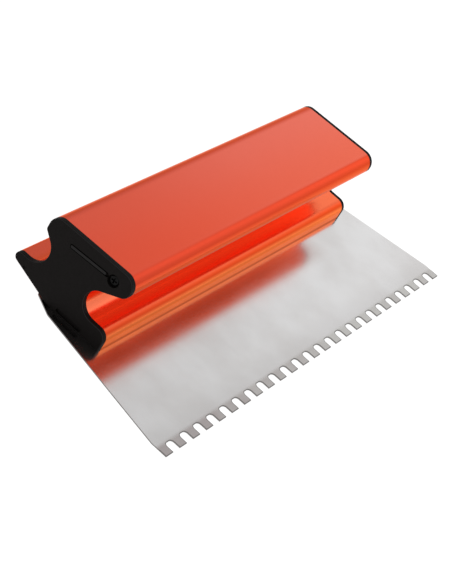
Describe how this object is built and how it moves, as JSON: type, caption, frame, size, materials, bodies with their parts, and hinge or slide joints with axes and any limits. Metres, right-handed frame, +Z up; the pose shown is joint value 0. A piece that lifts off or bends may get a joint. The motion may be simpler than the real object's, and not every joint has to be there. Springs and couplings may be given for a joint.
{
  "type": "notched trowel",
  "caption": "Wide adhesive trowel: a flared steel blade with U-shaped notches is clamped under a hollow orange aluminium handle with black plastic end caps.",
  "frame": {"origin": "below the middle of the whole tool, on the plane of the clamp bar's underside", "axes": "+X along the handle, -Y towards the teeth, +Z up through the handle, square to the blade"},
  "size_m": [0.2964, 0.1246, 0.0473],
  "materials": {
    "handle_anodised": "orange anodised, matt-etched satin on extruded aluminium",
    "cap_plastic": "black moulded plastic with a fine grain",
    "screw_steel": "blackened steel",
    "blade_steel": "ground stainless sheet",
    "bar_aluminium": "plain extruded bar",
    "clamp_steel": "zinc plated"
  },
  "bodies": {
    "root": {"handle_extrusion": "handle_anodised", "end_cap_left": "cap_plastic", "end_cap_right": "cap_plastic", "end_cap_screw_left": "screw_steel", "end_cap_screw_right": "screw_steel", "notched_blade": "blade_steel", "blade_clamp_bar": "bar_aluminium", "clamp_screws": "clamp_steel", "clamp_nuts": "clamp_steel"}
  },
  "joints": []
}
